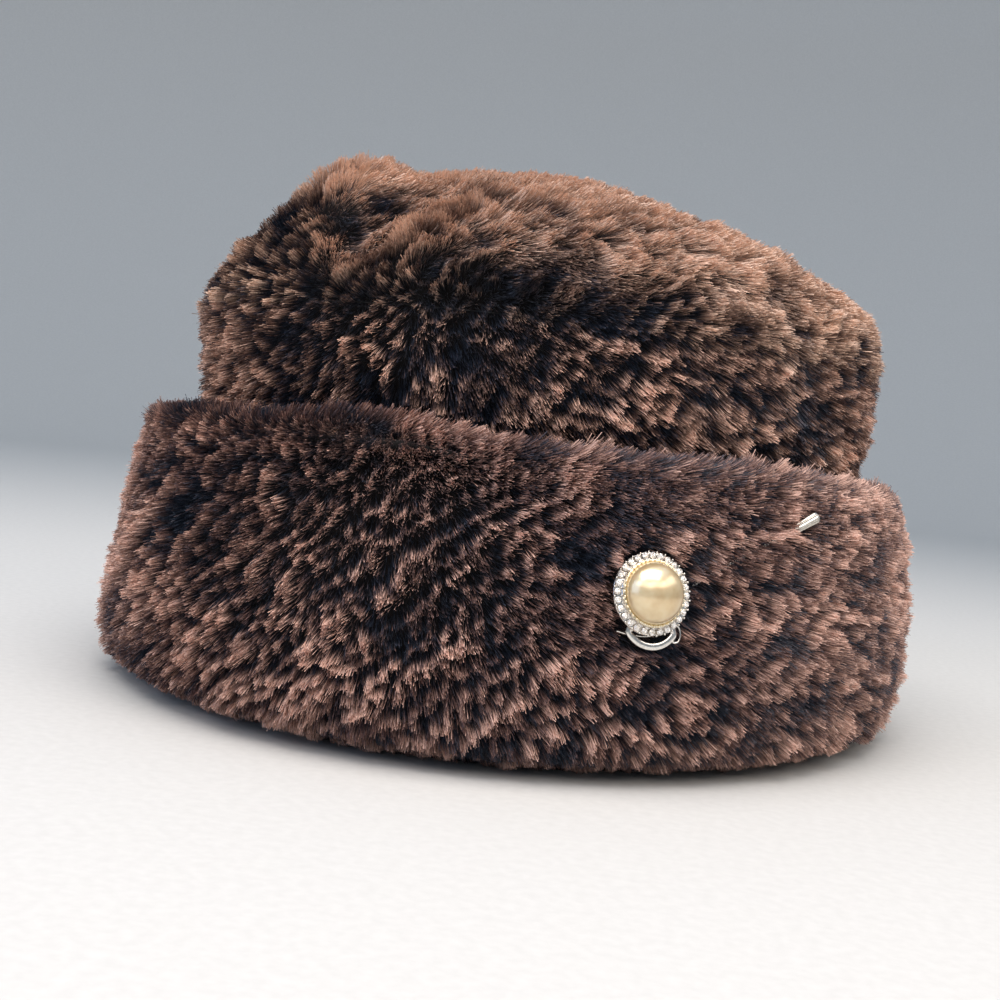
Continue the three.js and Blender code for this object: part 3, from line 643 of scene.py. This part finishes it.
climbs = np.linspace(0, 0.985, 34)
tip_outside = np.stack([sunk(dome, around, np.full(ROUND, c), np.full(ROUND, PILE_DEPTH)) for c in climbs])
tip_outside[..., 2] = np.maximum(tip_outside[..., 2], SEAM)
tip_inside = np.stack([dome(around, np.full(ROUND, c), TIP_THICK, 0.5) for c in np.linspace(0.97, 0, 16)])
tip_ends = [
    dome(np.zeros(1), np.ones(1), TIP_THICK, 0.5)[0],
    dome(np.zeros(1), np.ones(1))[0] - [0, 0, PILE_DEPTH],
]
piece("tip_hide", [skin(np.concatenate([tip_inside, tip_outside]), tip_ends)], [lining, hide_leather],
      ["crown_tip"],
      lambda mesh: (np.arange(len(mesh.polygons)) >= len(tip_inside) * ROUND)
      & (np.arange(len(mesh.polygons)) < len(mesh.polygons) - 2 * ROUND))

tip_wool = wool("dyed_wool_tip", "#0f1a29", "#242e40", "#7c5f51", "#eac8b1")
TIP_FIBRES = 280_000
GOLDEN_TURN = math.pi * (3 - math.sqrt(5))
draw = np.random.default_rng(31)
# Even places over the dome: turns step by the golden angle, and climbs share out its area
steps = np.linspace(0, 1, 400)
level = steps * np.pi / 2
ring_area = np.cos(level) * np.hypot(SEAM_HALF.mean() * np.sin(level), DOME_RISE * np.cos(level))
climb = np.interp((np.arange(TIP_FIBRES) + 0.5) / TIP_FIBRES, np.cumsum(ring_area) / ring_area.sum(), steps)
turn = np.arange(TIP_FIBRES) * GOLDEN_TURN + draw.normal(0, 0.002, TIP_FIBRES)
climb = np.clip(climb, 0.002, 0.995)
place = dome(turn, climb)
out = directions(dome, turn, climb, 0.003)[2]
top = smooth(out[:, 2], 0.35, 0.8)
combed = np.clip(0.05 + 0.68 * top + 0.2 * ripple(place, 30, 38), 0, 1)
# The tone is painted lighter on top, where the overhead light falls
corners, tones, feet = grown_crown(place, out, combed, 0.43 + 0.36 * top, 54)
part = np.digitize(np.arctan2(corners[:, 1, 0], -corners[:, 1, 1]), [-1.2, 1.2])
for sector, side in enumerate(("left", "front", "right")):
    here = part == sector
    pile(f"tip_pile_{side}", corners[here], tones[here], feet[here], tip_wool, "crown_tip", "tip_fur")

# The pin's setting, of brass plated with rhodium: a round dish with a bezel, a ledge for the stones with
# shared prongs, and a gold-tinted beaded ring round the pearl. It is soldered to a strip, a wire and a stem.
DISH_SIDES = 112


def to_hat(points):
    """From the pin's own frame to the hat's, in mm."""
    return PIN_PLACE + np.asarray(points, float) @ PIN_AXES


def lathe(outline, sides):
    """Rings of points turned about z from the rows of (radius, height) but the first and the last, and the
    points on z at the heights of these two, which close a skin."""
    outline = np.array(outline, float)
    rings = outline[1:-1]
    angle = np.linspace(0, 2 * np.pi, sides, endpoint=False)
    radius, height = rings[:, :1], rings[:, 1:]
    grid = np.stack([radius * np.cos(angle), radius * np.sin(angle), height + 0 * angle], -1)
    return grid, [[0, 0, outline[0, 1]], [0, 0, outline[-1, 1]]]


def beads(places, radius, sides=10, rows=5):
    """Small balls at places: latitude rings of the radius times sine and cosine round each."""
    level = np.linspace(0, np.pi, rows + 2)
    grid, ends = lathe(np.stack([np.sin(level), -np.cos(level)], 1), sides)
    return [skin(np.asarray(p) + radius * grid, np.asarray(p) + radius * np.array(ends)) for p in places]


def in_hat(parts):
    """Parts of the pin, taken from its frame to the hat's."""
    return [(to_hat(corners), faces) for corners, faces in parts]


def swept(path, section):
    """A section of (side, height) points carried along a path in the pin's frame: side is measured from the
    path towards its left, and height along z. Its ends close on the path."""
    along = unit(np.gradient(path, axis=0))
    left = unit(np.cross([0, 0, 1.0], along))
    lift = np.cross(along, left)
    rings = path[:, None] + left[:, None] * section[:, :1] + lift[:, None] * section[:, 1:]
    return skin(rings, [path[0], path[-1]])


# Brass plated with rhodium and polished: a bright, slightly warm mirror with the fine marks of the wheel,
# drawn coarser, so that they show
plate, tree, shader = new_material("rhodium_plate_polished", Metallic=1.0, Roughness=0.14)
POLISH_GRIT = 0.5  # mm between the marks
marks = noise(tree, POLISH_GRIT, 4.0)
tinted(tree, shader, marks, [(0.3, "#d2cdc6"), (0.7, "#f2ede5")])
wear = add_node(tree, "ShaderNodeMapRange", {"Value": marks, "To Min": 0.08, "To Max": 0.24})
tree.links.new(wear.outputs["Result"], shader.inputs["Roughness"])

# Brass flashed with pale gold: softer and warmer than the plate
gilt, tree, shader = new_material("gilt_milgrain", Metallic=1.0, Roughness=0.2)
tinted(tree, shader, noise(tree, POLISH_GRIT), [(0.3, "#ead9b2"), (0.7, "#fff4dc")])

# The dish's outline as (radius, height): back, rim, ledge, bezel and the pearl's seat
dish = lathe([
    (0, 0), (8.4, 0), (8.85, 0.08), (9.05, 0.3), (9.05, 0.5), (8.95, 0.62), (7.42, 0.75), (7.3, 0.85),
    (7.3, 1.85), (7.2, 2.0), (6.95, 2.0), (6.9, 1.9), (6.9, 1.25), (6.8, 1.2), (0, 1.2),
], DISH_SIDES)
STONES = 28
stone_turns = np.arange(STONES) * 2 * np.pi / STONES
prong_turns = stone_turns + np.pi / STONES


def ring_of(turns, radius, height):
    """Places on a level ring: radius times cosine and sine of the turns, at a height."""
    return np.stack([radius * np.cos(turns), radius * np.sin(turns), np.full(len(turns), height)], -1)


prongs = beads(ring_of(prong_turns, 9.04, 1.12), 0.25) + beads(ring_of(prong_turns, 7.5, 1.2), 0.2)
post, post_ends = lathe([(0, -0.6), (0.2, -0.6), (0.24, 0), (0, 0)], 8)
posts = [skin(p + post, p + np.array(post_ends)) for p in ring_of(prong_turns, 9.0, 1.1)]
piece("pin_dish", in_hat([skin(*dish), *prongs, *posts]), [plate], ["pin_setting"])
GRAINS = 40
milgrain = beads(ring_of(np.arange(GRAINS) * 2 * np.pi / GRAINS, 7.1, 2.12), 0.3)
collar_outline = [(6.7, 1.7), (7.32, 1.7), (7.38, 1.9), (7.3, 2.1), (7.0, 2.16), (6.75, 2.02), (6.7, 1.7)]
collar = lathe(collar_outline, DISH_SIDES)[0]
inner_edge = ring_of(np.linspace(0, 2 * np.pi, DISH_SIDES, endpoint=False), 6.7, 1.7)
collar = np.concatenate([collar, inner_edge[None]])
milgrain.append(skin(collar))
piece("pin_milgrain", in_hat(milgrain), [gilt], ["pin_setting"])

# The strip under the dish: polished plated brass, rolled flat with rounded edges. It is bent to an arc, and
# its ends are tucked in and soldered behind the dish.
STRIP_RADIUS = 6.5  # mm
arc = np.radians(np.linspace(-148, -32, 41))
strip_path = np.stack(
    [1 + STRIP_RADIUS * np.cos(arc), -4.7 + STRIP_RADIUS * np.sin(arc), np.full(41, -1.2)], -1)
tuck = np.array([0.75, 0.7, 1.0])
inner = strip_path[[0, -1]] * tuck + [0, 0, 0.6]
run_in = np.linspace(0, 1, 6)[:-1, None]
strip_path = np.vstack([inner[0] + (strip_path[0] - inner[0]) * run_in, strip_path,
                        inner[1] + (strip_path[-1] - inner[1]) * run_in[::-1]])
strip_path[1:-1] = (strip_path[:-2] + 2 * strip_path[1:-1] + strip_path[2:]) / 4
corner = np.radians(np.arange(0, 360, 30))
flat_oval = np.stack([0.78 * np.sign(np.cos(corner)) * np.abs(np.cos(corner)) ** 0.8,
                      0.36 * np.sign(np.sin(corner)) * np.abs(np.sin(corner)) ** 0.8], 1)
slant = np.radians(8)
section = flat_oval @ np.array([[np.cos(slant), np.sin(slant)], [-np.sin(slant), np.cos(slant)]])
strip = swept(strip_path, section)

# The thin wire behind it, of the same plated brass: a tail at the left, a run along the foot and an open eye
# at the right. It is bent by hand and soldered to the strip.
WIRE_RADIUS = 0.25  # mm
turned = np.linspace(0, 1, 33)
eye_turn = np.radians(150 - 288 * turned)
eye = np.stack([
    EYE_MIDDLE[0] + 1.2 * np.cos(eye_turn), EYE_MIDDLE[1] + 1.9 * np.sin(eye_turn), -1.9 - 0.5 * turned,
], -1)
run = np.array([[-7, -8.1, -1.9], [-4.6, -8.6, -1.9], [0.5, -8.9, -1.9], [4.6, -7.6, -1.9]])
wire_path = rounded_rows(np.vstack([run, eye[::4]]), np.linspace(0, 1, 120))
circle = np.radians(np.arange(0, 360, 30))
wire = swept(wire_path, WIRE_RADIUS * np.stack([np.cos(circle), np.sin(circle)], 1))
piece("pin_bridge", in_hat([strip, wire]), [plate], ["pin_setting"])

# The foot and the stem: a short post soldered behind the dish, and a steel wire plated like it, which runs
# through the pile to the clutch, bowed inwards by 1.2 mm, and ends straight.
FOOT_PLACE = np.array([0, -4.6, 0])
STEM_RADIUS, STEM_BOW = 0.5, 1.2  # mm
foot, foot_ends = lathe([(0, -4.6), (1.0, -4.6), (1.1, -4.5), (1.1, 0.2), (0, 0.2)], 24)
foot = skin(FOOT_PLACE + foot, FOOT_PLACE + np.array(foot_ends))
stem_start = to_hat(FOOT_PLACE - [0, 0, 4.1])
stem_end = CLUTCH_FOOT + CLUTCH_WAY * 5.7
stem_side = unit(np.cross(CLUTCH_WAY, [0, 0, 1.0]))
stem_up = np.cross(stem_side, CLUTCH_WAY)
ring = STEM_RADIUS * (np.cos(circle)[:, None] * stem_side + np.sin(circle)[:, None] * -stem_up)
stem_middle = (stem_start + CLUTCH_FOOT) / 2 - STEM_BOW * unit(np.array([*CLUTCH_FOOT[:2], 0.0]))
stem_path = rounded_rows(np.array([stem_start, stem_middle, CLUTCH_FOOT, stem_end]), np.linspace(0, 1, 25))
stem = skin(stem_path[:, None] + ring, [stem_start, stem_end])
piece("pin_stem", [*in_hat([foot]), stem], [plate], ["pin_setting"])

# The pearl: a dome of glass 13.5 mm across, flat behind, dipped in pearl essence and lacquered, and held by
# the rubbed-over bezel. It is cream with a golden body, a soft broad highlight and a pale rim.
pearl_coat, tree, shader = new_material(
    "pearl_essence_lacquer", Metallic=0.5, Roughness=0.26, Coat_Weight=1.0, Coat_Roughness=0.14, Coat_IOR=1.7,
    Sheen_Weight=0.4, Sheen_Roughness=0.3, Subsurface_Weight=0.1)
shader.inputs["Subsurface Radius"].default_value = (0.9 * MM, 0.6 * MM, 0.4 * MM)
shader.inputs["Subsurface Scale"].default_value = 1.0
shader.inputs["Sheen Tint"].default_value = colour("#e6efdc")
CLOUD, GRAIN = 3.5, 0.4  # mm across a cloud of the essence, and across a grain of the lacquer
tinted(tree, shader, noise(tree, CLOUD), [(0.3, "#d0b384"), (0.7, "#e6d2a8")])
dented(tree, shader, noise(tree, GRAIN), 0.04, 0.02)
level = np.linspace(0, np.pi / 2, 25)
dome_outline = zip(6.75 * np.cos(level[:-1]), 1.8 + 5.2 * np.sin(level[:-1]))
pearl_outline = [(0, 1.5), (6.3, 1.5), (6.65, 1.6), *dome_outline, (0, 7.0)]
piece("pearl_dome", in_hat([skin(*lathe(pearl_outline, 96))]), [pearl_coat], ["pearl"])

# The halo: 28 round crystals of lead glass with foil backs, each cut with a table, eight kites and sixteen
# girdle facets. They are set by hand between the prongs, so that each tilts a little and flashes by itself.
crystal, tree, shader = new_material(
    "foiled_crystal", Metallic=0.7, Roughness=0.08, Coat_Weight=1.0, Coat_Roughness=0.0)
SPARK = 0.45  # mm across a reflected facet
facets_and_painted_glints = add_node(tree, "ShaderNodeTexVoronoi", {"Vector": object_place(tree), "Scale": 1 / (SPARK * MM)})
# Each cell's tint is a painted glint, a facet's reflection painted from grey to white; its distance dents the
# stones into small facets.
tinted(tree, shader, facets_and_painted_glints.outputs["Color"], [(0.0, "#d8d2cc"), (1.0, "#ffffff"), (0.4, "#f7f0e8")])
dented(tree, shader, facets_and_painted_glints.outputs["Distance"], 1.0, 0.3)


def cut_stone(draw):
    """A round brilliant 1.52 mm across: octagon table, a ring of 8 points between table and girdle turned by
    half a facet, 16 girdle points, and a point below, tilted by up to 6 degrees."""
    eight, sixteen = np.arange(8) * np.pi / 4, np.arange(16) * np.pi / 8
    table = np.stack([0.42 * np.cos(eight), 0.42 * np.sin(eight), np.full(8, 0.62)], -1)
    kites = np.stack([0.6 * np.cos(eight + np.pi / 8), 0.6 * np.sin(eight + np.pi / 8), np.full(8, 0.5)], -1)
    girdle = np.stack([0.74 * np.cos(sixteen), 0.74 * np.sin(sixteen), np.full(16, 0.3)], -1)
    corners = np.vstack([table, kites, girdle, [[0, 0, 0.62], [0, 0, 0.02]]])
    faces = []
    for n in range(8):
        t0, t1, k0, k1 = n, (n + 1) % 8, 8 + n, 8 + (n - 1) % 8
        g0, g1, g2 = 16 + 2 * n, 16 + (2 * n + 1) % 16, 16 + (2 * n + 2) % 16
        faces += [[32, t0, t1], [t0, k0, t1], [t0, k1, g0], [t0, g0, k0], [k0, g0, g1], [k0, g1, g2]]
        faces += [[33, g1, g0], [33, g2, g1]]
    turn, tilt, way = draw.uniform(0, np.pi / 4), draw.uniform(0, 0.1), draw.uniform(0, 2 * np.pi)
    c, s = np.cos(turn), np.sin(turn)
    corners = corners @ np.array([[c, s, 0], [-s, c, 0], [0, 0, 1]])
    axis = np.array([np.cos(way), np.sin(way), 0])
    seat = corners - [0, 0, 0.3]
    along = np.outer(seat @ axis, axis)
    return seat * np.cos(tilt) + np.cross(axis, seat) * np.sin(tilt) + along * (1 - np.cos(tilt)), faces


draw = np.random.default_rng(41)
stones = []
for middle in ring_of(stone_turns, 8.3, STONE_SEAT + 0.3):
    stone, faces = cut_stone(draw)
    stones.append((stone + middle, faces))
stone_nodes = [f"halo_stone_{n:02d}" for n in range(1, STONES + 1)]
piece("halo_crystals", in_hat(stones), [crystal], stone_nodes, sharp=1)

# The clutch: a fluted barrel of brass with a satin nickel plate, which is soft and greyish. It is pushed on
# the stem's point, and is wider and rounded at its outer end.
FLUTES, FLUTE_DEPTH = 12, 0.14  # how many, and mm
satin, tree, shader = new_material("satin_nickel_plate", Metallic=1.0, Roughness=0.28)
SATIN_GRIT = 0.6  # mm between the marks of the satin finish, drawn coarser, so that they show
marks = noise(tree, SATIN_GRIT, 3.0)
tinted(tree, shader, marks, [(0.3, "#b9b4aa"), (0.7, "#dcd6cb")])
wear = add_node(tree, "ShaderNodeMapRange", {"Value": marks, "To Min": 0.2, "To Max": 0.36})
tree.links.new(wear.outputs["Result"], shader.inputs["Roughness"])
BARREL_SIDES = 96
turned = np.linspace(0, 2 * np.pi, BARREL_SIDES, endpoint=False)
barrel = np.array([
    (0.82, 0), (1.02, 0), (1.1, 0.1), (1.42, 7.2), (1.45, 7.5), (1.4, 7.95), (1.2, 8.3), (0.8, 8.48),
])
depth = FLUTE_DEPTH * np.array([0, 0.5, 1, 1, 1, 0.7, 0.3, 0])[:, None]
wide = barrel[:, :1] - depth * (0.5 + 0.5 * np.cos(FLUTES * turned))
bore = np.array([(0.8, 6.0), (0.8, 0.05)])


def on_clutch(radius, along):
    """Points about the clutch's axis, turned so that the rings run the right way round."""
    side = radius[..., None] * (np.cos(turned)[:, None] * stem_side + np.sin(turned)[:, None] * -stem_up)
    return CLUTCH_FOOT + side + along[..., None] * CLUTCH_WAY


rings = [on_clutch(np.full(BARREL_SIDES, r), np.full(BARREL_SIDES, z)) for r, z in bore]
rings += [on_clutch(w, np.full(BARREL_SIDES, z)) for w, z in zip(wide, barrel[:, 1])]
barrel_ends = [CLUTCH_FOOT + CLUTCH_WAY * 6.0, CLUTCH_FOOT + CLUTCH_WAY * CLUTCH_LONG]
piece("pin_clutch_barrel", [skin(np.stack(rings), barrel_ends)], [satin], ["pin_clutch"])

# The studio: a floor of pale matt paper that curves up into a wall all round, a large soft light above the
# front, a long window round the front and the right, a weak bluish light at the left, and the camera right of
# the hat's front, at half its height, turned a little about its own axis.
paper, tree, shader = new_material("matt_studio_paper", Roughness=0.85)
PAPER_GRAIN = 2.5  # mm
tinted(tree, shader, noise(tree, PAPER_GRAIN, 3.0), [(0.3, "#c6c4c0"), (0.7, "#cccac6")])
COVE_SIDES = 96
FLOOR_RADIUS, BEND_RADIUS, WALL_TOP = 1500, 800, 2600  # mm
bend = np.linspace(0, np.pi / 2, 24)
cove_bend = zip(FLOOR_RADIUS + BEND_RADIUS * np.sin(bend), BEND_RADIUS - BEND_RADIUS * np.cos(bend))
cove = [(0, 0), (200, 0), (600, 0), (1100, 0), *cove_bend, (FLOOR_RADIUS + BEND_RADIUS, WALL_TOP)]
cove_rings = lathe([*cove, (0, WALL_TOP)], COVE_SIDES)[0]
corners, faces = skin(cove_rings, [[0, 0, 0], [0, 0, WALL_TOP]])
# The room is open above, and its faces look inwards
faces = [face[::-1] for face in faces[:-COVE_SIDES]]
piece("studio_floor", [(corners[:-1], faces)], [paper], [], stage=True)


def placed(side, up, back, place):
    """The matrix of a lamp or camera from its axes and its place."""
    return Matrix([*np.column_stack([side, up, back, place]).tolist(), [0, 0, 0, 1]])


def soft_light(name, place, aim, size, watts, tint):
    """A rectangular soft box at a place in metres, turned to its aim, with its width level."""
    lamp = bpy.data.lights.new(name, "AREA")
    lamp.shape, lamp.size, lamp.size_y, lamp.energy = "RECTANGLE", *size, watts
    lamp.color = colour(tint)[:3]
    made = bpy.data.objects.new(name, lamp)
    back = unit(np.array(place) - np.array(aim))
    side = unit(np.cross([0, 0, 1.0], back))
    made.matrix_world = placed(side, np.cross(back, side), back, place)
    bpy.context.scene.collection.objects.link(made)


# Three level strips side by side, as one long window from the left in front to the right
WINDOW_MIDDLE = (0.05, -0.12)
WINDOW_RADIUS, WINDOW_HEIGHT = 0.94, 0.76
for turned_by, watts in ((-20, 2.3), (36, 3.0), (92, 2.3)):
    way = np.radians(turned_by)
    at = (WINDOW_MIDDLE[0] + WINDOW_RADIUS * math.sin(way), WINDOW_MIDDLE[1] - WINDOW_RADIUS * math.cos(way))
    aim = (*WINDOW_MIDDLE, 0.05)
    soft_light(f"window_{turned_by}", (*at, WINDOW_HEIGHT), aim, (1.05, 0.34), watts, "#fff4ea")
soft_light("overhead", (0.05, -0.38, 1.02), (0, -0.05, 0.08), (1.1, 0.7), 13, "#fff6ee")
soft_light("fill", (-0.8, -0.8, 0.45), (0, 0, 0.08), (0.8, 0.8), 3.2, "#b2ceff")
world = bpy.data.worlds.new("studio_air")
bpy.context.scene.world = world
world.use_nodes = True
world.node_tree.nodes["Background"].inputs["Color"].default_value = colour("#cadff8")
world.node_tree.nodes["Background"].inputs["Strength"].default_value = 1.0
bpy.context.scene.view_settings.view_transform = "Standard"

CAMERA_FROM, CAMERA_HIGH = 0.44, 0.0753  # metres from the hat's axis and up
CAMERA_SIDE = 10.0  # degrees round the hat from its front
CAMERA_DOWN, CAMERA_ASIDE, CAMERA_ROLL = 2.7, 0.8, 6.0  # degrees
SENSOR = 36  # mm wide
FOCAL = 1.477 * SENSOR
side, down, heading, roll = np.radians([CAMERA_SIDE, CAMERA_DOWN, CAMERA_SIDE + CAMERA_ASIDE, CAMERA_ROLL])
place = np.array([CAMERA_FROM * np.sin(side), -CAMERA_FROM * np.cos(side), CAMERA_HIGH])
ahead = np.array([-np.sin(heading) * np.cos(down), np.cos(heading) * np.cos(down), -np.sin(down)])
level_right = unit(np.cross(ahead, [0, 0, 1.0]))
level_up = np.cross(level_right, ahead)
right = level_right * np.cos(roll) + level_up * np.sin(roll)
upward = -level_right * np.sin(roll) + level_up * np.cos(roll)
lens = bpy.data.cameras.new("camera")
lens.sensor_width, lens.lens, lens.clip_start, lens.clip_end = SENSOR, FOCAL, 0.01, 20
camera = bpy.data.objects.new("camera", lens)
camera.matrix_world = placed(right, upward, -ahead, place)
bpy.context.scene.collection.objects.link(camera)
bpy.context.scene.camera = camera
